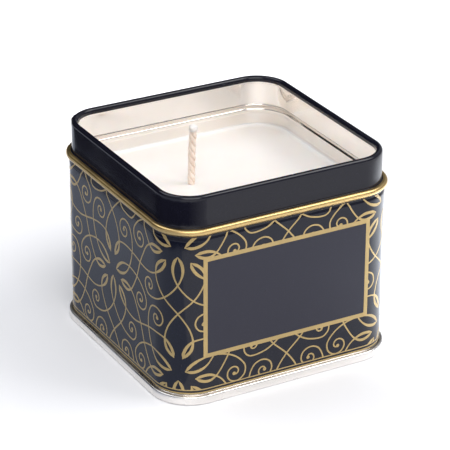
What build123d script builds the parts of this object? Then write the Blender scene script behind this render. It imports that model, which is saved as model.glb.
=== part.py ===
from build123d import *
import math
import os

# A square candle tin with rounded corners, filled with wax round one cotton wick. Millimetres.
# +Z is up and the origin is the middle of the footprint, on the surface that the tin stands on.
# The wall with the blank panel faces -Y. A section is drawn in the XZ plane with X measured
# outward from the axis of a corner, so one section serves the straight sides and the corners.

# Driving dimensions
BODY_WIDTH = 75.0          # across two flat walls, outside
CORNER_RADIUS = 11.5       # of the walls, outside
TIN_HEIGHT = 65.4
SHEET = 0.25               # tinplate of the body and of the base
FIT = 0.01                 # clearance between pieces that touch in the real tin

# Body: walls, bead, neck and curl
BEAD_FOOT = 53.8
BEAD_HEIGHT = 2.0
BEAD_PROUD = 0.9           # beyond the wall
BEAD_SLOPE = 1.0           # height over which the wall slopes out into the bead
BEAD_SLOPE_DROP = 0.3      # the slope starts this far under the foot of the bead
COVE_DEPTH = 0.3           # the wall is drawn in by this much just under the bead
COVE_START = 1.7           # below the foot of the bead
COVE_SLOPE = 0.7           # height over which the wall is drawn in
NECK_STEP = 0.86           # the neck's outside is this far inside the wall's
CURL_WIDTH = 1.95
CURL_DROP = 2.4            # from the top of the rim to the underside of the curl
CURL_LAP = 0.15            # extra thickness of the curl where the two ends of the sheet overlap
CURL_LAP_ANGLE = 11.0      # degrees of the corner that the overlap takes
CURL_END_GAP = 0.55        # from the neck's sheet to the cut edge inside the curl

# Bends of the sheets, at their middle line
FOLD_BEND = 0.36           # in the folded layers of the double seam
COVE_BENDS = [1.2, 0.6]    # out of the wall, and back to upright
BEAD_BENDS = [0.3, 0.9, 0.68]  # at the foot of the slope, at its top and at the bead's upper edge
ROUND_BEND = 0.82          # of the curl
NECK_ROOT_BEND = 0.3
CURL_END_BEND = 0.55
STEP_BEND = 0.2            # of the step in the base
PANEL_BEND = 0.7           # where the base turns down beside the wall
CHUCK_BEND = 0.45          # at the foot of the base's inner wall
SEAM_FOOT_BEND = 0.6       # at the foot of the outer wall of the seam

# Side seam: the two ends of the body sheet hooked together, in the corner towards -X and +Y
LOCK_WIDTH = 3.2
LOCK_THICKNESS = 0.5       # of the two extra layers, on the inside
LOCK_GROOVE = (0.35, 0.12)  # width and depth of the line that shows outside
LOCK_ANGLE = 135.0         # direction of the side seam from the corner's axis
LOCK_END = 0.3             # the hooks stop this far from a bend in the wall

# Base and double seam
SEAM_HEIGHT = 2.8
SEAM_GAP = 0.13            # between the folded layers
BODY_HOOK_TOP = 2.2
END_HOOK_FOOT = 0.9
PANEL_HEIGHT = 3.275       # middle of the sheet, beside the walls
PANEL_STEP = 0.4           # the middle of the base is pressed down by this much
PANEL_STEP_AT = 5.2        # from the corner's axis
PANEL_JOIN = 1.0           # the flat middle of the base starts this far inside the step
COMPOUND_FOOT = 0.4        # the sealing rubber starts this far above the foot of the body hook
CHUCK_FIT = 0.05           # between the base's inner wall and the body

# Wax
WAX_LEVEL = 48.3           # in the middle
MENISCUS = 0.55            # how far the wax climbs the wall
MENISCUS_WIDTH = 2.2
MENISCUS_EDGE = 0.15       # width of the wax's upper edge, at the wall

# Wick, its core, its foot and its tip
WICK_AT = (-8.2, 5.8)
WICK_RADIUS = 1.0
WICK_TOP = 66.7
STRANDS = 3
STRAND_RADIUS = 0.42
CORE_RADIUS = 0.14
TWIST_PITCH = 7.4          # one full left-hand turn of a strand
STICKER_RADIUS = 9.0
STICKER_THICKNESS = 1.2
SUSTAINER_RADIUS = 10.0
SUSTAINER_SHEET = 0.25
SUSTAINER_RIM = 0.6        # how far the disc's edge is turned down
COLLAR_HEIGHT = 6.0
COLLAR_ROOT = 0.12         # fillet between the disc and its collar
COLLAR_ROOM = 0.15         # between the collar and the wax
TIP_WAX_RADIUS = 1.3
TIP_WAX_LENGTH = 2.6
TIP_WAX_OVER = 0.7         # wax above the cut end of the wick
TIP_WAX_CROWN = 0.9        # rounding of its upper edge
TIP_WAX_SKIRT = (0.8, 0.2)  # height and width of the bevel at its lower edge

# Worked out from the above
CORNER_AT = BODY_WIDTH / 2 - CORNER_RADIUS      # the corner axes are at +-CORNER_AT
HALF_SHEET = SHEET / 2
WALL_R = CORNER_RADIUS - HALF_SHEET
WALL_INSIDE = CORNER_RADIUS - SHEET
BEAD_R = CORNER_RADIUS + BEAD_PROUD - HALF_SHEET
NECK_R = CORNER_RADIUS - NECK_STEP - HALF_SHEET
NECK_INSIDE = NECK_R - HALF_SHEET
END_HOOK_R = CORNER_RADIUS + SEAM_GAP + HALF_SHEET
BODY_HOOK_R = END_HOOK_R + SHEET + SEAM_GAP
SEAM_WALL_R = BODY_HOOK_R + SHEET + SEAM_GAP
CHUCK_WALL_R = WALL_INSIDE - CHUCK_FIT - HALF_SHEET
PANEL_TOP = PANEL_HEIGHT + HALF_SHEET
PIT_TOP = PANEL_TOP - PANEL_STEP                # inside bottom, under the wick
SUSTAINER_FOOT = PIT_TOP + STICKER_THICKNESS + 2 * FIT
DISC_TOP = SUSTAINER_FOOT + SUSTAINER_SHEET


def sheet_section(points, radii, thickness=SHEET):
    """A bent sheet's section, from the middle line of the sheet."""
    middle = FilletPolyline(*[Plane.XZ.from_local_coords(point) for point in points], radius=radii)
    return Face(Wire(middle.edges()).offset_2d(thickness / 2, side=Side.BOTH))


def rectangle_section(inner, outer, low, high):
    points = [(inner, 0, low), (outer, 0, low), (outer, 0, high), (inner, 0, high)]
    return make_face(Polyline(*points, close=True))


def ring(section):
    """Carry a section round the tin: four straight sides and four quarter turns."""
    axis = Axis((CORNER_AT, CORNER_AT, 0), (0, 0, 1))
    side = extrude(Pos(CORNER_AT, -CORNER_AT, 0) * section, amount=2 * CORNER_AT, dir=(0, 1, 0))
    quarter = side + revolve(Pos(CORNER_AT, CORNER_AT, 0) * section, axis, 90)
    whole = quarter
    for turn in (90, 180, 270):
        whole += Rot(0, 0, turn) * quarter
    return whole


def seam_corner_arc(section, start, angle):
    """Turn a section through a few degrees about the axis of the corner that holds the side seam."""
    arc = revolve(Rot(0, 0, start) * section, Axis.Z, angle)
    return Pos(-CORNER_AT, CORNER_AT, 0) * arc


def rounded_block(radius, low, high):
    """A block with the tin's plan, whose corners have this radius."""
    outline = RectangleRounded(2 * (CORNER_AT + radius), 2 * (CORNER_AT + radius), radius)
    return Pos(0, 0, low) * extrude(outline, amount=high - low)


def disc(radius, low, high):
    """A round piece on the wick's axis."""
    return Pos(*WICK_AT, low) * extrude(Circle(radius), amount=high - low)


def body_points():
    """Middle line of the body sheet, from the hook in the double seam to the end of the curl."""
    foot = SHEET + SEAM_GAP + HALF_SHEET
    slope_foot = BEAD_FOOT - BEAD_SLOPE_DROP
    bead_high = BEAD_FOOT + BEAD_HEIGHT - HALF_SHEET
    cove = BEAD_FOOT - COVE_START
    return [
        (BODY_HOOK_R, BODY_HOOK_TOP),
        (BODY_HOOK_R, foot),
        (WALL_R, foot),
        (WALL_R, cove),
        (WALL_R - COVE_DEPTH, cove + COVE_SLOPE),
        (WALL_R - COVE_DEPTH, slope_foot),
        (BEAD_R, slope_foot + BEAD_SLOPE),
        (BEAD_R, bead_high),
        (NECK_R, bead_high),
    ] + curl_points()


def curl_points():
    top = TIN_HEIGHT - HALF_SHEET
    inner = NECK_R - CURL_WIDTH + SHEET
    low = TIN_HEIGHT - CURL_DROP + HALF_SHEET
    return [(NECK_R, top), (inner, top), (inner, low), (NECK_R - CURL_END_GAP, low)]


def lock_seam():
    """The flattened hooks of the side seam, inside the wall and inside the neck."""
    half = math.degrees(LOCK_WIDTH / 2 / WALL_INSIDE)
    spans = [
        (WALL_INSIDE, PANEL_TOP + LOCK_END, BEAD_FOOT - COVE_START - LOCK_END),
        (NECK_INSIDE, BEAD_FOOT + BEAD_HEIGHT + LOCK_END, TIN_HEIGHT - CURL_DROP + HALF_SHEET),
    ]
    folds = []
    for inside, low, high in spans:
        section = rectangle_section(inside - LOCK_THICKNESS, inside + HALF_SHEET, low, high)
        folds.append(seam_corner_arc(section, LOCK_ANGLE - half, 2 * half))
    return folds


def lock_groove():
    """The thin line where the hooked edge shows on the outside of the wall and the neck."""
    width, depth = LOCK_GROOVE
    spans = [
        (CORNER_RADIUS, SEAM_HEIGHT + LOCK_END, BEAD_FOOT - COVE_START - LOCK_END),
        (CORNER_RADIUS - NECK_STEP, BEAD_FOOT + BEAD_HEIGHT + LOCK_END, TIN_HEIGHT - CURL_WIDTH),
    ]
    cuts = []
    for outside, low, high in spans:
        slot = Pos(outside, 0, (low + high) / 2) * Box(2 * depth, width, high - low)
        cuts.append(Pos(-CORNER_AT, CORNER_AT, 0) * Rot(0, 0, LOCK_ANGLE) * slot)
    return cuts


def tin_body():
    """One sheet: hook, walls, bead, neck and curl, closed by the lock seam in one corner."""
    curl_bends = [ROUND_BEND, ROUND_BEND, CURL_END_BEND]
    wall_bends = [FOLD_BEND, FOLD_BEND] + COVE_BENDS
    bead_bends = BEAD_BENDS + [NECK_ROOT_BEND]
    body = ring(sheet_section(body_points(), wall_bends + bead_bends + curl_bends))
    neck_end = (NECK_R, TIN_HEIGHT - CURL_DROP)
    lap = sheet_section([neck_end] + curl_points(), curl_bends, SHEET + 2 * CURL_LAP)
    body += seam_corner_arc(lap, LOCK_ANGLE, CURL_LAP_ANGLE)
    for fold in lock_seam():
        body += fold
    for cut in lock_groove():
        body -= cut
    return body


def tin_base():
    """The pressed end: stepped panel, chuck wall inside the body, and the outer wall of the seam."""
    pit = PANEL_HEIGHT - PANEL_STEP
    seam_top = SEAM_HEIGHT - HALF_SHEET
    points = [
        (PANEL_STEP_AT - 1.5 * PANEL_JOIN, pit),
        (PANEL_STEP_AT, pit),
        (PANEL_STEP_AT + PANEL_STEP, PANEL_HEIGHT),
        (CHUCK_WALL_R, PANEL_HEIGHT),
        (CHUCK_WALL_R, HALF_SHEET),
        (SEAM_WALL_R, HALF_SHEET),
        (SEAM_WALL_R, seam_top),
        (END_HOOK_R, seam_top),
        (END_HOOK_R, END_HOOK_FOOT),
    ]
    bends = [STEP_BEND, STEP_BEND, PANEL_BEND, CHUCK_BEND, SEAM_FOOT_BEND, FOLD_BEND, FOLD_BEND]
    edge = ring(sheet_section(points, bends))
    panel = rounded_block(PANEL_STEP_AT - PANEL_JOIN, pit - HALF_SHEET, pit + HALF_SHEET)
    return edge + panel


def seam_compound():
    """Sealing rubber between the body hook and the outer wall of the seam."""
    inner = BODY_HOOK_R + HALF_SHEET + FIT
    outer = SEAM_WALL_R - HALF_SHEET - FIT
    return ring(rectangle_section(inner, outer, SHEET + SEAM_GAP + COMPOUND_FOOT, BODY_HOOK_TOP))


def wax_fill():
    """The poured wax: it climbs the walls a little, and the wick and its foot stand in it."""
    radius = WALL_INSIDE - FIT
    wax = rounded_block(radius, PANEL_TOP + FIT, WAX_LEVEL + MENISCUS)
    wax += rounded_block(PANEL_STEP_AT - STEP_BEND - PANEL_STEP, PIT_TOP + FIT, WAX_LEVEL / 2)
    hollow = rounded_block(radius - MENISCUS_EDGE, WAX_LEVEL, TIN_HEIGHT)
    wax -= fillet(hollow.faces().sort_by(Axis.Z)[0].edges(), MENISCUS_WIDTH)
    wax -= disc(SUSTAINER_RADIUS + FIT, 0, DISC_TOP + FIT)
    wax -= disc(WICK_RADIUS + SUSTAINER_SHEET + COLLAR_ROOM, 0, SUSTAINER_FOOT + COLLAR_HEIGHT + FIT)
    wax -= disc(WICK_RADIUS + FIT, 0, TIN_HEIGHT)
    inside = WALL_INSIDE - LOCK_THICKNESS - FIT
    half = math.degrees((LOCK_WIDTH / 2 + 2 * FIT) / inside)
    room = rectangle_section(inside, CORNER_RADIUS, 0, TIN_HEIGHT)
    return wax - seam_corner_arc(room, LOCK_ANGLE - half, 2 * half)


def wick_sticker():
    """Foam pad under the sustainer."""
    return disc(STICKER_RADIUS, PIT_TOP + FIT, SUSTAINER_FOOT - FIT)


def wick_sustainer():
    """Stamped disc with a turned-down edge and a neck that is crimped on the wick."""
    plate = disc(SUSTAINER_RADIUS, SUSTAINER_FOOT, DISC_TOP)
    rim = disc(SUSTAINER_RADIUS, SUSTAINER_FOOT - SUSTAINER_RIM, DISC_TOP)
    rim -= disc(SUSTAINER_RADIUS - SUSTAINER_SHEET, 0, SUSTAINER_FOOT)
    neck_outside = WICK_RADIUS + FIT + SUSTAINER_SHEET
    neck = disc(neck_outside, SUSTAINER_FOOT, SUSTAINER_FOOT + COLLAR_HEIGHT)
    sustainer = plate + rim + neck
    root = sustainer.edges().filter_by(GeomType.CIRCLE).filter_by_position(Axis.Z, DISC_TOP, DISC_TOP)
    foot = [edge for edge in root if abs(edge.radius - neck_outside) < FIT]
    sustainer = fillet(foot, COLLAR_ROOT)
    return sustainer - disc(WICK_RADIUS + FIT, 0, TIN_HEIGHT)


def wick_strand(number):
    """One of the strands that are laid round the core, as a left-hand helix."""
    length = WICK_TOP - SUSTAINER_FOOT
    section = Rot(0, 0, number * 360 / STRANDS) * Pos(WICK_RADIUS - STRAND_RADIUS, 0) * Circle(STRAND_RADIUS)
    strand = Solid.extrude_linear_with_rotation(
        section.face(), (0, 0, 0), (0, 0, length), -360 * length / TWIST_PITCH
    )
    return Pos(*WICK_AT, SUSTAINER_FOOT) * strand


def wick_core():
    """The stiff thread in the middle of the wick."""
    return disc(CORE_RADIUS, SUSTAINER_FOOT, WICK_TOP)


def wick_tip_wax():
    """The lump of wax left on the tip when the wick was primed: a sleeve closed over the cut end."""
    low = WICK_TOP + TIP_WAX_OVER - TIP_WAX_LENGTH
    lump = disc(TIP_WAX_RADIUS, low, WICK_TOP + TIP_WAX_OVER)
    rims = lump.edges().filter_by(GeomType.CIRCLE)
    lump = fillet(rims.sort_by(Axis.Z)[-1:], TIP_WAX_CROWN)
    lump = chamfer(lump.edges().filter_by(GeomType.CIRCLE).sort_by(Axis.Z)[:1], *TIP_WAX_SKIRT)
    return lump - disc(WICK_RADIUS + FIT, 0, WICK_TOP + FIT)


def main():
    pieces = {
        "tin_body": tin_body(),
        "tin_base": tin_base(),
        "seam_compound": seam_compound(),
        "wax_fill": wax_fill(),
        "wick_sticker": wick_sticker(),
        "wick_sustainer": wick_sustainer(),
        "wick_core": wick_core(),
        "wick_tip_wax": wick_tip_wax(),
    }
    for number in range(STRANDS):
        pieces[f"wick_strand_{number + 1}"] = wick_strand(number)
    os.makedirs("parts", exist_ok=True)
    for name, piece in pieces.items():
        piece.label = name
        export_step(piece, f"parts/{name}.step")


main()
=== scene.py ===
import math
import random

import bpy
from mathutils import Matrix, Vector, geometry, noise


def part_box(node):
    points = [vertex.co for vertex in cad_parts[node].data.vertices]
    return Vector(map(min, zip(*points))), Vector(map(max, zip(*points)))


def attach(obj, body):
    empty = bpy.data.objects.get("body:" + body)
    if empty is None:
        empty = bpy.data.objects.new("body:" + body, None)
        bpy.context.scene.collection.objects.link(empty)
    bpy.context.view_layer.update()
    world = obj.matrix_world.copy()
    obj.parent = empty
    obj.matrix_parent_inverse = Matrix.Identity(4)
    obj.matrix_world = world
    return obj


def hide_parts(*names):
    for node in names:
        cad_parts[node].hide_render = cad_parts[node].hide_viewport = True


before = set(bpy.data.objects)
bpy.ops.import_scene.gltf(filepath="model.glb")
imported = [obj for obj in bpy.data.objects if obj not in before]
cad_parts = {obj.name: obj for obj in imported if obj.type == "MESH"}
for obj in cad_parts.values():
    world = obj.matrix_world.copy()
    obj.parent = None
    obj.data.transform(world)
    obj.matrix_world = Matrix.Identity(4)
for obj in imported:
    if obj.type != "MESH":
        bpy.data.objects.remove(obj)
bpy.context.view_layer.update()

# A square candle tin: varnished and gold-printed tinplate, cream wax and a twisted cotton wick.
# Lengths are in millimetres, and MM turns them into metres where a mesh or a light is made.
# s runs round the wall: 0 at the middle of the -Y face, positive towards +X. r is the distance
# outward from the axis of a corner, so the flat walls are at CORNER_AT + r.
MM = 0.001
random.seed(8)


def box_mm(node):
    """The low and high corners of a CAD node's box."""
    low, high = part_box(node)
    return [v / MM for v in low], [v / MM for v in high]


_, body_high = box_mm("tin_body")
_, wax_high = box_mm("wax_fill")
strand_low, strand_high = box_mm("wick_strand_1")
tip_low, tip_high = box_mm("wick_tip_wax")

# Sizes that the frame's boxes don't give. Bends are radii, at the middle of the sheet unless said.
HALF_SHEET = 0.125
CORNER_R = 11.5                            # of the walls, outside
BEAD_PROUD = 0.9                           # beyond the wall
BEAD_TOP = 55.8
BEAD_UPRIGHT = 0.07                        # height between the two bends of the bead's edge
SLOPE_FOOT, SLOPE_TOP = 53.5, 54.5         # middle of the sheet where it slopes out into the bead
SLOPE_BENDS = 0.3, 0.9                     # at its foot and at its top
COVE_DEPTH = 0.3                           # how far the wall is drawn in under the bead
COVE_FOOT, COVE_TOP = 52.1, 52.8
COVE_BENDS = 1.2, 0.6                      # out of the wall, and back to upright
NECK_STEP = 0.86                           # from the outside of the wall to that of the neck
NECK_ROOT = 0.175                          # outside bend between the bead and the neck
LEDGE_SEAM = 0.45                          # the gold ends and the black starts this far inside the wall
RIM_TOP = 65.4
CURL_WIDTH = 1.95
CURL_DROP = 2.4                            # from the rim's top to the underside of the curl
CURL_BEND = 0.945                          # outside
CURL_FOOT = 62.95                          # where the coat of the curl takes over from the neck's
CURL_LAP = 0.15                            # extra thickness where the ends of the sheet overlap
CURL_LAP_ANGLE = 11.0                      # degrees of the corner that the overlap takes
MENISCUS = 0.55                            # height of the wax's raised edge

WALL = body_high[0] - BEAD_PROUD
CORNER_AT = WALL - CORNER_R
NECK_R = CORNER_R - NECK_STEP
SLOPE_TURN = math.atan2(BEAD_PROUD + COVE_DEPTH, SLOPE_TOP - SLOPE_FOOT)
CORNER_ARC = CORNER_R * math.pi / 2
SIDE = 2 * CORNER_AT + CORNER_ARC          # from the middle of one corner to the next
SEAM_S = -1.5 * SIDE                       # the side seam, in the corner towards -X and +Y
SEAM_GAP = 0.55                            # half the bare strip along the side seam
LAP_END = SEAM_S + math.radians(CURL_LAP_ANGLE) * CORNER_R

# How far the coats stand off the sheet, outside and at their hidden backs
FILM_BACK = 0.004
VARNISH_LIFT = 0.030
PANEL_LIFT, PANEL_BACK = 0.036, 0.032
GOLD_LIFT, GOLD_BACK = 0.046, 0.031
GOLD_COVE = 1.5                            # the gold stands this many times higher in the cove
WALL_FOOT = 3.1                            # of the varnish, just above the double seam


# ---------------------------------------------------------------- geometry helpers
def ease(value):
    """A smooth step from 0 to 1."""
    value = max(0.0, min(1.0, value))
    return value * value * (3 - 2 * value)


def round_point(s, r):
    """The point at s along the wall and r out from the corner axes, and the outward normal."""
    face = round(s / SIDE)
    along = s - face * SIDE
    if abs(along) <= CORNER_AT:
        x, y, nx, ny = along, -(CORNER_AT + r), 0.0, -1.0
    else:
        side = math.copysign(1.0, along)
        angle = (abs(along) - CORNER_AT) / CORNER_R
        nx, ny = side * math.sin(angle), -math.cos(angle)
        x, y = side * CORNER_AT + r * nx, -CORNER_AT + r * ny
    turn = face * math.pi / 2
    c, k = math.cos(turn), math.sin(turn)
    return (x * c - y * k, x * k + y * c), (nx * c - ny * k, nx * k + ny * c)


def on_wall(s, z, lift):
    """A point that stands lift off the printed wall."""
    (x, y), _ = round_point(s, CORNER_R + lift)
    return Vector((x, y, z)) * MM


def arc(centre, radius, start, end, steps=8):
    """Points on an arc in the section plane, from start to end in degrees."""
    return [
        (
            centre[0] + radius * math.cos(math.radians(start + (end - start) * i / steps)),
            centre[1] + radius * math.sin(math.radians(start + (end - start) * i / steps)),
        )
        for i in range(steps + 1)
    ]


def make_object(name, verts, faces, material, smooth_angle=35.0):
    """A mesh piece on the tin, smooth except at edges sharper than smooth_angle."""
    mesh = bpy.data.meshes.new(name)
    mesh.from_pydata([tuple(v) for v in verts], [], faces)
    mesh.validate()
    mesh.shade_smooth()
    mesh.set_sharp_from_angle(angle=math.radians(smooth_angle))
    obj = bpy.data.objects.new(name, mesh)
    bpy.context.collection.objects.link(obj)
    mesh.materials.append(material)
    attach(obj, "root")
    return obj


def path_stations(start, end, corner_steps=24, side_steps=26):
    """Places along s, close together round the corners."""
    places = []
    first, last = math.floor(start / SIDE) - 1, math.ceil(end / SIDE) + 1
    for face in range(first, last + 1):
        middle = face * SIDE
        for i in range(side_steps):
            places.append(middle - CORNER_AT + 2 * CORNER_AT * i / side_steps)
        for i in range(corner_steps):
            places.append(middle + CORNER_AT + CORNER_ARC * i / corner_steps)
    inside = [p for p in places if start + 0.05 < p < end - 0.05]
    return [start] + inside + [end]


def offset_line(points, distance):
    """The section line moved to its left by distance."""
    moved = []
    for i, (r, z) in enumerate(points):
        r0, z0 = points[max(i - 1, 0)]
        r1, z1 = points[min(i + 1, len(points) - 1)]
        dr, dz = r1 - r0, z1 - z0
        length = math.hypot(dr, dz)
        moved.append((r + dz / length * distance, z - dr / length * distance))
    return moved


def film(name, line, material, thickness, start, end, lap_end=None):
    """A thin closed coat that follows a section line of the tin from s = start to s = end.

    Up to s = lap_end it stands CURL_LAP further out, over the overlap of the sheet.
    """
    outer = offset_line(line, thickness)
    inner = offset_line(line, FILM_BACK)
    verts, faces = [], []
    stations = path_stations(start, end)
    if lap_end:
        stations = sorted(stations + [lap_end - 0.02, lap_end, lap_end + 0.06])
    loop = outer + inner[::-1]
    raised = offset_line(line, thickness + CURL_LAP) + offset_line(line, FILM_BACK + CURL_LAP)[::-1]
    for s in stations:
        for r, z in raised if lap_end and s <= lap_end else loop:
            (x, y), _ = round_point(s, r)
            verts.append(Vector((x, y, z)) * MM)
    n = len(loop)
    for k in range(len(stations) - 1):
        for i in range(n):
            j = (i + 1) % n
            faces.append((k * n + i, (k + 1) * n + i, (k + 1) * n + j, k * n + j))
    faces.append(tuple(range(n)))
    faces.append(tuple(reversed(range((len(stations) - 1) * n, len(stations) * n))))
    return make_object(name, verts, faces, material)


# ---------------------------------------------------------------- materials
class Nodes:
    """A short way to build a material's node tree."""

    def __init__(self, name, color=(0.8, 0.8, 0.8), **sockets):
        self.material = bpy.data.materials.new(name)
        self.material.use_nodes = True
        self.tree = self.material.node_tree
        self.shader = self.tree.nodes["Principled BSDF"]
        self.shader.inputs["Base Color"].default_value = (*color, 1.0)
        for socket, value in sockets.items():
            self.shader.inputs[socket.replace("_", " ")].default_value = value
        self.coords = self.tree.nodes.new("ShaderNodeTexCoord").outputs["Object"]

    def node(self, kind, **values):
        made = self.tree.nodes.new(kind)
        for key, value in values.items():
            if key in made.inputs:
                made.inputs[key].default_value = value
            else:
                setattr(made, key, value)
        return made

    def link(self, output, target):
        self.tree.links.new(output, target)

    def stretch(self, scale):
        """Object coordinates, stretched."""
        mapping = self.node("ShaderNodeMapping")
        mapping.inputs["Scale"].default_value = scale
        self.link(self.coords, mapping.inputs["Vector"])
        return mapping.outputs["Vector"]

    def noise(self, scale, detail=3.0, roughness=0.55, stretch=(1, 1, 1)):
        made = self.node("ShaderNodeTexNoise", Scale=scale, Detail=detail, Roughness=roughness)
        self.link(self.stretch(stretch), made.inputs["Vector"])
        return made.outputs["Fac"]

    def remap(self, value, low, high, to_low, to_high):
        """A value carried from one range to another, and kept inside it."""
        made = self.node("ShaderNodeMapRange")
        limits = {"From Min": low, "From Max": high, "To Min": to_low, "To Max": to_high}
        for key, number in limits.items():
            made.inputs[key].default_value = number
        self.link(value, made.inputs["Value"])
        return made.outputs["Result"]

    def mix(self, factor, first, second):
        """A colour between two colours."""
        made = self.node("ShaderNodeMix", data_type="RGBA")
        made.inputs[6].default_value = (*first, 1.0)
        made.inputs[7].default_value = (*second, 1.0)
        self.link(factor, made.inputs["Factor"])
        return made.outputs[2]

    def add(self, first, second, operation="ADD"):
        made = self.node("ShaderNodeMath", operation=operation)
        self.link(first, made.inputs[0])
        if isinstance(second, (int, float)):
            made.inputs[1].default_value = second
        else:
            self.link(second, made.inputs[1])
        return made.outputs[0]

    def bump(self, height, distance, strength=1.0):
        made = self.node("ShaderNodeBump", Strength=strength, Distance=distance)
        self.link(height, made.inputs["Height"])
        self.link(made.outputs["Normal"], self.shader.inputs["Normal"])

    def drive(self, socket, output):
        self.link(output, self.shader.inputs[socket])


def varnish(name, color, roughness, specular=0.5, spread=0.03):
    """Stoved black varnish: fine orange peel, a soft drift in gloss and faint specks of dust."""
    n = Nodes(name, color=color, Roughness=roughness, IOR=1.5, Specular_IOR_Level=specular)
    peel = n.noise(1100, detail=2)
    drift = n.noise(35, detail=2)
    specks = n.noise(2600, detail=3)
    n.drive("Roughness", n.remap(drift, 0.35, 0.65, roughness - spread, roughness + spread))
    dusty = tuple(c * 1.5 + 0.004 for c in color)
    n.drive("Base Color", n.mix(n.remap(specks, 0.60, 0.75, 0.0, 1.0), color, dusty))
    n.bump(peel, 0.000006, 0.25)
    return n.material


def gold_ink(name, color, roughness=0.42, metallic=0.55, grit=0.3, coat=0.0):
    """Metallic printing ink: fine grain, slightly uneven cover."""
    n = Nodes(name, color=color, Metallic=metallic, Roughness=roughness, IOR=1.5,
              Coat_Weight=coat, Coat_Roughness=0.12)
    grain = n.noise(5200, detail=2)
    patch = n.noise(130, detail=3)
    dark = tuple(c * 0.84 for c in color)
    both = n.add(n.add(grain, 0.45, "MULTIPLY"), n.add(patch, 0.55, "MULTIPLY"))
    n.drive("Base Color", n.mix(n.remap(both, 0.38, 0.62, 0.0, 1.0), dark, color))
    n.drive("Roughness", n.remap(patch, 0.3, 0.7, roughness - 0.05, roughness + 0.05))
    n.bump(grain, 0.000004, grit)
    return n.material


def tinplate(name, color, roughness):
    """Bright tinplate: a satin mirror with fine rolling lines and soft blotches."""
    n = Nodes(name, color=color, Metallic=1.0, Roughness=roughness)
    rolling = n.noise(70, detail=4, stretch=(1, 1, 26))
    blotch = n.noise(60, detail=3)
    dull = tuple(c * 0.93 for c in color)
    n.drive("Base Color", n.mix(n.remap(blotch, 0.35, 0.65, 0.0, 1.0), dull, color))
    n.drive("Roughness", n.remap(blotch, 0.3, 0.7, roughness - 0.03, roughness + 0.05))
    n.bump(rolling, 0.000008, 0.15)
    return n.material


def wax_material(name, color, deep):
    """Soft container wax: translucent, a frosted bloom and very fine pitting."""
    n = Nodes(name, color=color, Roughness=0.42, IOR=1.44, Subsurface_Weight=0.35,
              Subsurface_Scale=0.004, Coat_Weight=0.08, Coat_Roughness=0.3)
    n.shader.inputs["Subsurface Radius"].default_value = (1.0, 0.72, 0.5)
    bloom = n.noise(70, detail=5)
    pits = n.noise(1500, detail=3)
    n.drive("Base Color", n.mix(n.remap(bloom, 0.35, 0.7, 0.0, 1.0), color, deep))
    n.drive("Roughness", n.remap(bloom, 0.3, 0.7, 0.34, 0.52))
    n.bump(n.add(pits, n.add(bloom, 2.0, "MULTIPLY")), 0.00003, 0.3)
    return n.material


def cotton(name, color, shade):
    """Primed cotton yarn: fine fibres along the yarn, slightly waxy."""
    n = Nodes(name, color=color, Roughness=0.7, Sheen_Weight=0.25, Subsurface_Weight=0.2,
              Subsurface_Scale=0.0006)
    n.shader.inputs["Subsurface Radius"].default_value = (1.0, 0.7, 0.5)
    fibre = n.noise(2600, detail=4, stretch=(1, 1, 0.35))
    blot = n.noise(420, detail=2)
    both = n.add(n.add(fibre, blot), 0.5, "MULTIPLY")
    n.drive("Base Color", n.mix(n.remap(both, 0.38, 0.62, 0.0, 1.0), shade, color))
    n.bump(fibre, 0.00004, 0.6)
    return n.material


def plain_grain(name, color, roughness, scale, depth):
    """Rubber or foam: an even colour with a fine grain."""
    n = Nodes(name, color=color, Roughness=roughness)
    grain = n.noise(scale, detail=4)
    dark = tuple(c * 0.85 for c in color)
    n.drive("Base Color", n.mix(n.remap(grain, 0.35, 0.65, 0.0, 1.0), dark, color))
    n.bump(grain, depth, 0.6)
    return n.material


BLACK = varnish("black_varnish", (0.005, 0.006, 0.014), 0.10, 0.36)
NECK_BLACK = varnish("neck_varnish", (0.006, 0.006, 0.012), 0.11, 0.36)
PANEL_BLACK = varnish("panel_matt_varnish", (0.008, 0.008, 0.021), 0.30, 0.48)
PRINT_GOLD = gold_ink("print_gold_ink", (0.50, 0.36, 0.15), metallic=0.65, coat=0.35)
BEAD_GOLD = gold_ink("bead_gold_ink", (0.72, 0.51, 0.22), roughness=0.34, metallic=1.0, grit=0.0)
TIN_INSIDE = tinplate("bright_tinplate", (0.93, 0.89, 0.85), 0.12)
BASE_TIN = tinplate("base_tinplate", (0.87, 0.84, 0.81), 0.27)
WAX = wax_material("cream_wax", (0.90, 0.85, 0.805), (0.885, 0.83, 0.78))
TIP_WAX = wax_material("tip_wax", (0.90, 0.83, 0.80), (0.86, 0.78, 0.74))
COTTON = cotton("wick_cotton", (0.93, 0.80, 0.70), (0.82, 0.66, 0.55))
CORE = cotton("core_cotton", (0.86, 0.80, 0.70), (0.70, 0.62, 0.50))
RUBBER = plain_grain("lining_compound", (0.30, 0.29, 0.27), 0.8, 700, 0.00003)
FOAM = plain_grain("sticker_foam", (0.84, 0.84, 0.81), 0.9, 1600, 0.00006)
STAMPED = tinplate("stamped_steel", (0.62, 0.62, 0.61), 0.35)


# ---------------------------------------------------------------- printed coats
WALL_START = SEAM_S + SEAM_GAP
WALL_END = SEAM_S + 4 * SIDE - SEAM_GAP


def cove_line():
    """The outside of the cove under the bead: out of the wall, inward, and upright again."""
    turn = math.atan2(COVE_DEPTH, COVE_TOP - COVE_FOOT)
    first, second = COVE_BENDS
    middle = CORNER_R - HALF_SHEET
    low = (middle - first, COVE_FOOT - first * math.tan(turn / 2))
    high = (middle - COVE_DEPTH + second, COVE_TOP + second * math.tan(turn / 2))
    degrees = math.degrees(turn)
    return (
        arc(low, first + HALF_SHEET, 0, degrees, 7)
        + arc(high, second - HALF_SHEET, 180 + degrees, 180, 7)
    )


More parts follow.
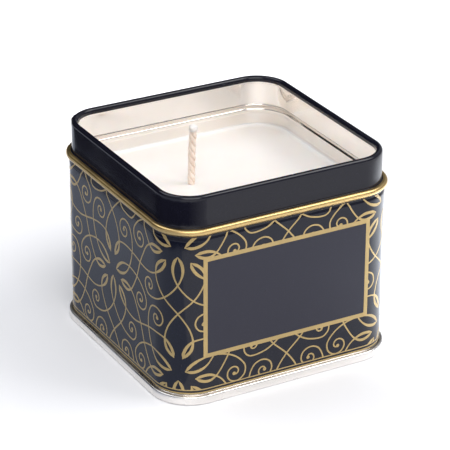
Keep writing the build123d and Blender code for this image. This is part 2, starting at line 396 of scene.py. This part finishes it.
def wall_radius(z):
    """Where the outside of the wall is at this height, from the corner's axis."""
    line = cove_line()
    if z <= line[0][1]:
        return CORNER_R
    for (r0, z0), (r1, z1) in zip(line, line[1:]):
        if z <= z1:
            return r0 + (r1 - r0) * (z - z0) / (z1 - z0)
    return line[-1][0]


def wall_line():
    """The outside of the wall, with the cove and the bend that lead into the bead."""
    bend = SLOPE_BENDS[0]
    centre = (CORNER_R - HALF_SHEET - COVE_DEPTH + bend, SLOPE_FOOT - bend * math.tan(SLOPE_TURN / 2))
    root = arc(centre, bend - HALF_SHEET, 180, 180 - math.degrees(SLOPE_TURN), 5)
    upright = [(CORNER_R, z) for z in (WALL_FOOT, 20.0, 36.0, 48.0)]
    return upright + cove_line() + root


def bead_line():
    """The outside of the bead, from the foot of its slope to the ledge at the neck."""
    bend = SLOPE_BENDS[1]
    middle = CORNER_R - HALF_SHEET + BEAD_PROUD
    low = (middle - bend, SLOPE_TOP + bend * math.tan(SLOPE_TURN / 2))
    radius = BEAD_TOP - low[1] - BEAD_UPRIGHT
    high = (middle + HALF_SHEET - radius, BEAD_TOP - radius)
    return (
        [wall_line()[-1]]
        + arc(low, bend + HALF_SHEET, -math.degrees(SLOPE_TURN), 0, 8)
        + arc(high, radius, 0, 90, 10)
        + [(CORNER_R - LEDGE_SEAM, BEAD_TOP)]
    )


def neck_line():
    """The outside of the neck, from the ledge on the bead to the foot of the curl."""
    root = arc((NECK_R + NECK_ROOT, BEAD_TOP + NECK_ROOT), NECK_ROOT, 270, 180, 5)
    upright = [(NECK_R, z) for z in (58.5, 61.5, CURL_FOOT)]
    return [(CORNER_R - LEDGE_SEAM - 0.01, BEAD_TOP)] + root + upright


def curl_line():
    """The outside of the curl, over the rim and down to its cut edge inside."""
    top = RIM_TOP - CURL_BEND
    inner = NECK_R - CURL_WIDTH + CURL_BEND
    low = RIM_TOP - CURL_DROP + CURL_BEND
    return (
        [(NECK_R, CURL_FOOT), (NECK_R, CURL_FOOT + 0.6)]
        + arc((NECK_R - CURL_BEND, top), CURL_BEND, 0, 90, 10)
        + arc((inner, top), CURL_BEND, 90, 180, 10)
        + arc((inner, low), CURL_BEND, 180, 268, 8)
    )


def panel_patch():
    """The plain satin panel, on the flat of the front wall."""
    wide, tall = 60, 24
    xs = [-PANEL_HALF + 2 * PANEL_HALF * i / wide for i in range(wide + 1)]
    zs = [PANEL_LOW + (PANEL_HIGH - PANEL_LOW) * i / tall for i in range(tall + 1)]
    verts, faces = [], []
    for lift in (PANEL_LIFT, PANEL_BACK):
        for z in zs:
            verts += [on_wall(x, z, lift) for x in xs]
    nx, nz = len(xs), len(zs)
    half = nx * nz
    for j in range(nz - 1):
        for i in range(nx - 1):
            a = j * nx + i
            faces.append((a, a + 1, a + nx + 1, a + nx))
            faces.append((half + a, half + a + nx, half + a + nx + 1, half + a + 1))
    rim = list(range(nx)) + [j * nx + nx - 1 for j in range(1, nz)]
    rim += [(nz - 1) * nx + i for i in range(nx - 2, -1, -1)] + [j * nx for j in range(nz - 2, 0, -1)]
    for a, b in zip(rim, rim[1:] + rim[:1]):
        faces.append((a, half + a, half + b, b))
    return make_object("print_panel", verts, faces, PANEL_BLACK)


# ---------------------------------------------------------------- gold scrolls
# One motif is a flower of nine hollow leaves. The two outlines of a leaf cross at its outer end and
# run on as thin lines, which curl into spirals or join the leaves of the next motifs. Motifs stand
# in columns half a side apart, and every other column is half a step lower. Points are (across, up)
# from the motif's middle, for its right half.
COLUMN = SIDE / 2
STEP = 39.6
PRINT_LOW, PRINT_HIGH = 4.55, 53.2
# Level cuts that let the gold follow the cove
COVE_CUTS = 51.9, 52.1, 52.25, 52.4, 52.55, 52.7, 52.85, 53.0
CORNER_MOTIF = 9.5
THIN, BOLD = 0.24, 0.46                    # half widths of a stroke
PANEL_HALF, PANEL_LOW, PANEL_HIGH = 26.35, 16.0, 45.35
BORDER = 1.3                               # width of the gold line round the panel
FOOT_LINES = (PRINT_LOW - 0.18, PRINT_LOW + 0.16), (3.25, 3.75)


def spiral(centre, start, radius, turns, hand):
    """Points on a spiral that closes by 0.6 mm each quarter turn."""
    count = int(turns * 8)
    points = []
    for i in range(count + 1):
        angle = math.radians(start + hand * 45 * i)
        reach = radius - 0.3 * i
        points.append((centre[0] + reach * math.cos(angle), centre[1] + reach * math.sin(angle)))
    return points


LEAF_TO_SPIRAL = [
    [(0, -1.9), (-1.05, -3.7), (-1.5, -6.1), (-1.1, -8.5), (0, -10.9), (2.1, -13.6), (4.7, -15.8),
     (7.8, -17.3)] + spiral((11.6, -14.5), -80, 3.3, 1.3, 1),
    [(2.0, 1.1), (4.0, 3.4), (6.6, 5.0), (9.9, 5.6), (13.2, 5.2), (16.2, 4.2), (18.9, 2.4)]
    + spiral((17.6, -1.9), 22, 3.75, 1.4, -1),
    [(2.0, 1.1), (4.6, 1.0), (7.4, 2.0), (9.4, 3.7), (10.7, 5.7), (11.8, 8.1), (12.6, 11.2), (12.7, 14.0),
     (12.0, 16.8), (10.5, 18.9)] + spiral((7.8, 16.2), 88, 3.4, 1.3, 1),
]
LEAF_TO_LEAF = [
    [(4.9, -1.2), (7.0, -0.6), (9.2, -0.6), (11.6, -1.6), (13.5, -3.2), (15.1, -5.6), (17.5, -9.9),
     (19.5, -15.1), (20.7, -17.3), (22.0, -19.4), (23.5, -21.2), (25.5, -22.3), (27.8, -22.1),
     (30.1, -21.0)],
    [(3.7, -3.5), (5.8, -4.6), (7.4, -6.4), (7.9, -8.7), (7.3, -11.4), (4.9, -15.2), (0, -20.0),
     (-2.9, -24.0), (-4.2, -27.6), (-4.2, -30.1), (-3.5, -32.0), (-1.2, -34.3)],
    [(3.7, -3.5), (4.2, -5.3), (5.4, -7.1), (7.6, -8.8), (10.4, -10.0), (13.7, -10.4), (17.5, -9.8),
     (21.3, -8.9), (25.3, -8.3), (28.3, -8.3), (30.9, -9.0), (32.6, -10.8), (33.5, -12.9),
     (33.7, -14.5)],
]
LEAF_LENGTH = 8.5
LEAF_TIP = 0.10
SPIRAL_DOT = 0.56                          # radius of the drop that ends a spiral


def smooth_line(points, spacing=0.5):
    """A smooth curve through given points, cut into even short steps."""
    fine = []
    for i in range(len(points) - 1):
        near = [max(0, min(len(points) - 1, k)) for k in (i - 1, i, i + 1, i + 2)]
        p0, p1, p2, p3 = (Vector(points[k]) for k in near)
        d = (p2 - p1).length
        t0 = (p2 - p0) * (d / max((p1 - p0).length + d, 1e-6)) if i else (p2 - p1)
        t1 = (p3 - p1) * (d / max((p3 - p2).length + d, 1e-6)) if i < len(points) - 2 else (p2 - p1)
        for k in range(16):
            t = k / 16
            fine.append(
                p1 * (2 * t**3 - 3 * t**2 + 1) + t0 * (t**3 - 2 * t**2 + t)
                + p2 * (-2 * t**3 + 3 * t**2) + t1 * (t**3 - t**2)
            )
    fine.append(Vector(points[-1]))
    reach = [0.0]
    for a, b in zip(fine, fine[1:]):
        reach.append(reach[-1] + (b - a).length)
    count = max(2, round(reach[-1] / spacing))
    even, k = [], 0
    for i in range(count + 1):
        want = reach[-1] * i / count
        while k < len(reach) - 2 and reach[k + 1] < want:
            k += 1
        span = max(reach[k + 1] - reach[k], 1e-9)
        even.append(fine[k].lerp(fine[k + 1], (want - reach[k]) / span))
    return even, reach[-1]


def leaf_width(distance):
    """Half the width of a leaf's outline, by the distance from the leaf's tip."""
    tip = LEAF_TIP + (BOLD - LEAF_TIP) * ease(distance / 1.6)
    return tip + (THIN - tip) * ease((distance - 3.5) / (LEAF_LENGTH - 3.5))


def ribbon(points, both_ends):
    """The outline of one stroke, counter-clockwise, and the point where it ends."""
    line, length = smooth_line(points)
    left, right = [], []
    for i, p in enumerate(line):
        a, b = line[max(i - 1, 0)], line[min(i + 1, len(line) - 1)]
        along = (b - a).normalized()
        across = Vector((-along.y, along.x))
        done = length * i / (len(line) - 1)
        width = leaf_width(min(done, length - done)) if both_ends else leaf_width(done)
        left.append(p + across * width)
        right.append(p - across * width)
    return right + left[::-1], line[-1]


def motif_strokes():
    """Every stroke outline that starts in one motif, left and right."""
    outlines = []
    for points in LEAF_TO_SPIRAL:
        outline, end = ribbon(points, False)
        outlines.append(outline)
        angles = [2 * math.pi * i / 18 for i in range(18)]
        outlines.append([end + SPIRAL_DOT * Vector((math.cos(a), math.sin(a))) for a in angles])
    for points in LEAF_TO_LEAF:
        outline, _ = ribbon(points, True)
        outlines.append(outline)
    return outlines + [[Vector((-p.x, p.y)) for p in reversed(outline)] for outline in outlines]


def strip(low, high, start, end, step=0.5):
    """A level line of print along the wall."""
    count = round((end - start) / step)
    places = [start + (end - start) * i / count for i in range(count + 1)]
    return [Vector((s, low)) for s in places] + [Vector((s, high)) for s in reversed(places)]


def rectangle(half, low, high, step=0.5):
    """A rectangle round the panel, with points close together."""
    wide, tall = round(2 * half / step), round((high - low) / step)
    points = [Vector((-half + 2 * half * i / wide, low)) for i in range(wide)]
    points += [Vector((half, low + (high - low) * i / tall)) for i in range(tall)]
    points += [Vector((half - 2 * half * i / wide, high)) for i in range(wide)]
    return points + [Vector((-half, high - (high - low) * i / tall)) for i in range(tall)]


def gold_print():
    """All the gold on the wall as one thin raised film."""
    strokes = []
    motif = motif_strokes()
    for column in range(-4, 7):
        level = CORNER_MOTIF if column % 2 else CORNER_MOTIF + STEP / 2
        for row in (-1, 0, 1, 2):
            shift = Vector((column * COLUMN, level + row * STEP))
            for outline in motif:
                moved = [p + shift for p in outline]
                ups = [p.y for p in moved]
                across = [p.x for p in moved]
                in_height = max(ups) > PRINT_LOW and min(ups) < PRINT_HIGH
                if in_height and max(across) > WALL_START and min(across) < WALL_END:
                    strokes.append(moved)
    lines = [strip(low, high, WALL_START, WALL_END) for low, high in FOOT_LINES]
    band = strip(PRINT_LOW, PRINT_HIGH, WALL_START, WALL_END)
    inner = rectangle(PANEL_HALF, PANEL_LOW, PANEL_HIGH)
    borders = [
        rectangle(PANEL_HALF + BORDER * k / 4, PANEL_LOW - BORDER * k / 4, PANEL_HIGH + BORDER * k / 4)
        for k in (4, 3, 2, 1)
    ]
    cuts = [strip(low, high, WALL_START, WALL_END) for low, high in zip(COVE_CUTS, COVE_CUTS[1:])]
    shapes = strokes + lines + [band, inner] + borders + cuts
    verts, faces = [], []
    for shape in shapes:
        faces.append(list(range(len(verts), len(verts) + len(shape))))
        verts += [(p.x, p.y) for p in shape]
    flat, _, tris, _, _, origins = geometry.delaunay_2d_cdt(verts, [], faces, 1, 1e-4)
    first_line = len(strokes)
    band_id, inner_id = first_line + 2, first_line + 3
    gold = []
    for tri, origin in zip(tris, origins):
        origin = set(origin)
        stroke = any(k < first_line for k in origin) and band_id in origin
        line = any(first_line <= k < band_id for k in origin)
        border = any(inner_id < k <= inner_id + len(borders) for k in origin)
        if (stroke or line or border) and inner_id not in origin:
            gold.append(tri)
    return raised_print("print_scrolls", flat, gold)


def raised_print(name, flat, tris):
    """Lift flat triangles off the wall as a closed film whose top carries the wall's own normals."""
    used = sorted({v for tri in tris for v in tri})
    index = {v: i for i, v in enumerate(used)}
    count = len(used)
    verts, normals = [], []
    for lift in (GOLD_LIFT, GOLD_BACK):
        for v in used:
            wall = wall_radius(flat[v].y)
            stands = lift if wall == CORNER_R else lift * GOLD_COVE
            (x, y), (nx, ny) = round_point(flat[v].x, wall + stands)
            verts.append((x * MM, y * MM, flat[v].y * MM))
            normals.append((nx, ny, 0.0))
    faces, edges = [], {}
    for tri in tris:
        top = [index[v] for v in tri]
        area = sum(
            flat[a].x * flat[b].y - flat[b].x * flat[a].y for a, b in zip(tri, list(tri)[1:] + [tri[0]])
        )
        if area < 0:
            top.reverse()
        faces.append(tuple(top))
        faces.append(tuple(v + count for v in reversed(top)))
        for a, b in zip(top, top[1:] + top[:1]):
            edges[(a, b)] = True
    tops = len(faces)
    for a, b in edges:
        if (b, a) not in edges:
            faces.append((b, a, a + count, b + count))
    mesh = bpy.data.meshes.new(name)
    mesh.from_pydata(verts, [], faces)
    mesh.shade_smooth()
    custom = []
    for face in mesh.polygons:
        for loop in face.loop_indices:
            vertex = mesh.loops[loop].vertex_index
            if face.index < tops and vertex < count:
                custom.append(normals[vertex])
            elif face.index < tops:
                custom.append(tuple(-c for c in normals[vertex]))
            else:
                custom.append(tuple(face.normal))
    mesh.normals_split_custom_set(custom)
    obj = bpy.data.objects.new(name, mesh)
    bpy.context.collection.objects.link(obj)
    mesh.materials.append(PRINT_GOLD)
    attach(obj, "root")
    return obj


varnish_wall = film("varnish_wall", wall_line(), BLACK, VARNISH_LIFT, WALL_START, WALL_END)
gold_bead = film("gold_bead", bead_line(), BEAD_GOLD, VARNISH_LIFT, WALL_START, WALL_END)
varnish_neck = film("varnish_neck", neck_line(), NECK_BLACK, VARNISH_LIFT, WALL_START, WALL_END)
varnish_curl = film(
    "varnish_curl", curl_line(), NECK_BLACK, VARNISH_LIFT, SEAM_S, SEAM_S + 4 * SIDE, LAP_END
)
panel = panel_patch()
scrolls = gold_print()


# ---------------------------------------------------------------- wick
WICK_AT = Vector(((strand_low[0] + strand_high[0]) / 2, (strand_low[1] + strand_high[1]) / 2, 0))
YARN_R = 1.13
YARN_PITCH = 7.0                           # one left-hand turn
YARN_SHARE = 120                           # degrees of the wick's section that one yarn fills
YARN_TOP = strand_high[2] - 0.3
YARN_STEP, BURIED_STEP = 0.11, 0.6         # between rings above the wax and in it
LUMP_R = 1.32
LUMP_RAISED = 0.15                         # its foot above that of the CAD piece
FIBRES = 46
FIBRE_R = 0.014
WAX_TOP = wax_high[2] - MENISCUS
WICK_LEAN = Vector((0.55, -0.30, 0))       # of the tip, from the foot in the wax


def wick_axis(z):
    """The middle of the wick at this height: straight in the wax, leaning a little above it."""
    above = max(0.0, z - WAX_TOP) / (strand_high[2] - WAX_TOP)
    bend = 0.18 * math.sin(2.4 * math.pi * above) * above
    return WICK_AT + WICK_LEAN * above**1.3 + Vector((bend, bend * 0.4, z))


def yarn_radius(share, z):
    """Outline of one yarn: rounded between its neighbours, with the ridges of its own fibres."""
    groove = abs(share) ** 4.0
    ridge = math.cos(math.radians(share * 60 * 6 + 150 * z))
    swell = 0.03 * math.sin(1.9 * z + share)
    return YARN_R * (1.0 - 0.42 * groove + 0.02 * ridge * (1 - groove) + swell)


def yarn(number):
    """One of the three yarns that are laid together, a left-hand helix of soft fibres."""
    heights = []
    z = strand_low[2]
    while z < YARN_TOP:
        heights.append(z)
        z += BURIED_STEP if z < WAX_TOP - 1 else YARN_STEP
    heights.append(YARN_TOP)
    verts, faces, steps = [], [], 26
    for z in heights:
        centre = wick_axis(z)
        turn = number * YARN_SHARE - 360 * z / YARN_PITCH
        for i in range(steps + 1):
            share = -1 + 2 * i / steps
            angle = math.radians(turn + share * YARN_SHARE / 2)
            reach = yarn_radius(share, z)
            verts.append((centre + Vector((math.cos(angle), math.sin(angle), 0)) * reach) * MM)
        verts.append(centre * MM)
    n = steps + 2
    for k in range(len(heights) - 1):
        for i in range(n):
            j = (i + 1) % n
            faces.append((k * n + i, k * n + j, (k + 1) * n + j, (k + 1) * n + i))
    faces.append(tuple(reversed(range(n))))
    faces.append(tuple(range((len(heights) - 1) * n, len(heights) * n)))
    piece = make_object(f"wick_yarn_{number + 1}", verts, faces, COTTON, 50.0)
    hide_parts(f"wick_strand_{number + 1}")


def stray_fibres():
    """Short loose ends of fibre that stand off the wick."""
    verts, faces = [], []
    for _ in range(FIBRES):
        z = random.uniform(WAX_TOP + 0.5, YARN_TOP - 2.0)
        angle = random.uniform(0, 2 * math.pi)
        rise = random.uniform(0.3, 1.2)
        reach = random.uniform(0.12, 0.5)
        drift = random.uniform(-0.6, 0.6)
        base = len(verts)
        for i in range(7):
            share = i / 6
            turn = angle + drift * share
            out = YARN_R * 0.93 + reach * math.sin(share * math.pi * 0.6)
            middle = wick_axis(z) + Vector((out * math.cos(turn), out * math.sin(turn), rise * share))
            for k in range(3):
                around = 2 * math.pi * k / 3
                side = Vector((math.cos(around), math.sin(around), 0)) * FIBRE_R * (1.2 - share)
                verts.append((middle + side) * MM)
        for i in range(6):
            for k in range(3):
                a, b = base + 3 * i + k, base + 3 * i + (k + 1) % 3
                faces.append((a, b, b + 3, a + 3))
        faces.append((base + 2, base + 1, base))
        faces.append((base + 18, base + 19, base + 20))
    piece = make_object("wick_stray_fibres", verts, faces, COTTON)


def tip_lump():
    """The lump of wax on the tip: an uneven sleeve that closes over the end of the yarns."""
    low, high = tip_low[2] + LUMP_RAISED, tip_high[2]
    rings, around = 30, 40
    verts, faces = [], []
    for k in range(rings + 1):
        share = k / rings
        z = low + (high - low) * share
        profile = min(1.0, (share / 0.22) ** 0.5) * (1.0 - max(0.0, (share - 0.55) / 0.45) ** 2.6) ** 0.5
        centre = wick_axis(z)
        for i in range(around):
            angle = 2 * math.pi * i / around
            spot = Vector((math.cos(angle), math.sin(angle), z * 0.9))
            lumps = 0.16 * noise.noise(spot * 1.3) + 0.06 * noise.noise(spot * 3.7)
            skirt = 0.12 * math.sin(3 * angle + 1.0) * (1 - share) ** 2
            reach = LUMP_R * profile * (1 + lumps + skirt)
            verts.append((centre + Vector((math.cos(angle), math.sin(angle), 0)) * reach) * MM)
    for k in range(rings):
        for i in range(around):
            j = (i + 1) % around
            faces.append((k * around + i, k * around + j, (k + 1) * around + j, (k + 1) * around + i))
    faces.append(tuple(reversed(range(around))))
    faces.append(tuple(range(rings * around, (rings + 1) * around)))
    piece = make_object("wick_tip_lump", verts, faces, TIP_WAX, 80.0)
    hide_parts("wick_tip_wax")


for number in range(3):
    yarn(number)
stray_fibres()
tip_lump()


# ---------------------------------------------------------------- CAD nodes that stay
for node, material in (
    ("tin_body", TIN_INSIDE),
    ("tin_base", BASE_TIN),
    ("seam_compound", RUBBER),
    ("wax_fill", WAX),
    ("wick_core", CORE),
    ("wick_sustainer", STAMPED),
    ("wick_sticker", FOAM),
):
    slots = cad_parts[node].data.materials
    if slots:
        slots[0] = material
    else:
        slots.append(material)


# ---------------------------------------------------------------- floor, light and camera
FLOOR_SIZE = 6.0                           # half, in metres
FLOOR_DROP = 0.00002                       # metres under the tin, so that no faces share a plane
CARD_PALE = 0.85                           # glow of a card's pale end, about that of the floor


def make_floor():
    """A pale plane under and behind the tin."""
    n = Nodes("pale_floor", color=(0.955, 0.95, 0.965), Roughness=0.6)
    mesh = bpy.data.meshes.new("floor")
    corners = [(x * FLOOR_SIZE, y * FLOOR_SIZE, 0) for x, y in ((-1, -1), (1, -1), (1, 1), (-1, 1))]
    mesh.from_pydata(corners, [], [(0, 1, 2, 3)])
    mesh.materials.append(n.material)
    floor = bpy.data.objects.new("floor", mesh)
    floor.location.z = -FLOOR_DROP
    bpy.context.collection.objects.link(floor)


def make_card(name, foot, top, color=(0.004, 0.004, 0.004), fade=None):
    """A studio card between two lines, which only reflections see.

    Between the two places across in fade it glows, up to CARD_PALE: a painted reflection of the pale floor,
    so that its end doesn't show.
    """
    n = Nodes(name, color=color, Roughness=0.9)
    if fade:
        split = n.node("ShaderNodeSeparateXYZ")
        n.link(n.coords, split.inputs["Vector"])
        # painted reflection: towards its end the card glows like the lit floor, though it is no lamp
        n.shader.inputs["Emission Color"].default_value = (0.95, 0.95, 1.0, 1.0)
        glow = n.remap(split.outputs["X"], fade[0] * MM, fade[1] * MM, 0.0, CARD_PALE)
        n.drive("Emission Strength", glow)
    verts = [Vector(p) * MM for p in foot + top]
    count = len(foot)
    faces = [(i, i + 1, count + i + 1, count + i) for i in range(count - 1)]
    mesh = bpy.data.meshes.new(name)
    mesh.from_pydata(verts, [], faces)
    mesh.materials.append(n.material)
    card = bpy.data.objects.new(name, mesh)
    bpy.context.collection.objects.link(card)
    card.visible_camera = False
    card.visible_diffuse = False
    card.visible_shadow = False
    card.visible_transmission = False


def make_cards():
    """A low black card round the left, which the neck mirrors, and a far one behind the tin.

    The grey one lies on the floor at the left, where the left wall mirrors it: a painted reflection of the
    shaded floor there, greyer and bluer than the floor itself.
    """
    near = [(-90, 400), (-90, 64), (-120, 44), (-143, -25), (-129, -87), (-88, -129), (-40, -146),
            (30, -152)]
    far = [(-1300, 350), (-1000, 900), (-300, 1300), (400, 1350), (900, 1100)]
    near_top, far_foot, far_top, lying = 20, 60, 1150, 0.1
    make_card("near_card", [(x, y, 0) for x, y in near], [(x, y, near_top) for x, y in near], fade=(-85, 30))
    make_card("far_card", [(x, y, far_foot) for x, y in far], [(x, y, far_top) for x, y in far])
    # painted shade: a grey-blue sheet that only reflections see, standing in for the floor in the tin's
    # shadow
    make_card("grey_card", [(-41, -60, lying), (-41, 400, lying)], [(-500, -330, lying), (-500, 400, lying)],
              (0.53, 0.57, 0.66))


def floor_spot(place, radius, power, color):
    """A soft round pool of light on the floor, radius metres wide to each side."""
    data = bpy.data.lights.new("floor_spot", "SPOT")
    data.spot_size = 2 * math.atan(radius / place[2])
    data.spot_blend = 1.0
    data.shadow_soft_size = 0.02
    data.energy = power
    data.color = color
    light = bpy.data.objects.new("floor_spot", data)
    light.location = place
    bpy.context.collection.objects.link(light)


def area_light(name, place, target, size, power, color=(1, 1, 1)):
    """A rectangular soft box that faces a target."""
    data = bpy.data.lights.new(name, "AREA")
    data.shape = "RECTANGLE"
    data.size, data.size_y = size
    data.energy = power
    data.color = color
    light = bpy.data.objects.new(name, data)
    light.location = place
    light.rotation_euler = (Vector(target) - Vector(place)).to_track_quat("-Z", "Y").to_euler()
    bpy.context.collection.objects.link(light)


def make_world(strength):
    """An even, slightly cool room light."""
    world = bpy.data.worlds.new("studio")
    world.use_nodes = True
    background = world.node_tree.nodes["Background"]
    background.inputs["Color"].default_value = (0.94, 0.96, 1.0, 1.0)
    background.inputs["Strength"].default_value = strength
    bpy.context.scene.world = world


def make_camera():
    """From the front left and above, the angle that the tin was seen from."""
    azimuth, elevation, roll = math.radians(-29.22), math.radians(25.51), math.radians(-0.22)
    distance, target = 0.70923, Vector((0.0011, 0.00166, 0.03416))
    back = Vector((math.sin(azimuth) * math.cos(elevation), -math.cos(azimuth) * math.cos(elevation),
                   math.sin(elevation)))
    data = bpy.data.cameras.new("camera")
    data.lens = 188.03
    data.sensor_width = 36.0
    data.clip_start = 0.01
    camera = bpy.data.objects.new("camera", data)
    camera.location = target + back * distance
    turn = back.to_track_quat("Z", "Y").to_matrix() @ Matrix.Rotation(-roll, 3, "Z")
    camera.rotation_euler = turn.to_euler()
    bpy.context.collection.objects.link(camera)
    bpy.context.scene.camera = camera


make_floor()
make_world(0.36)
area_light("key", (0.58, -0.38, 0.88), (0, 0, 0.03), (0.60, 0.60), 5.3)
area_light("fill", (-0.35, -0.95, 1.05), (0, 0, 0.03), (1.2, 1.2), 13.4)
area_light("top_left", (-0.40, 0.55, 1.20), (0, 0, 0.03), (0.8, 0.8), 4.4, (0.92, 0.95, 1.0))
floor_spot((0.110, -0.030, 0.6), 0.085, 34.0, (0.86, 0.93, 1.0))
floor_spot((0.10, 0.40, 0.9), 0.36, 45.0, (1.0, 1.0, 1.0))
make_cards()
make_camera()
bpy.context.scene.view_settings.view_transform = "Standard"
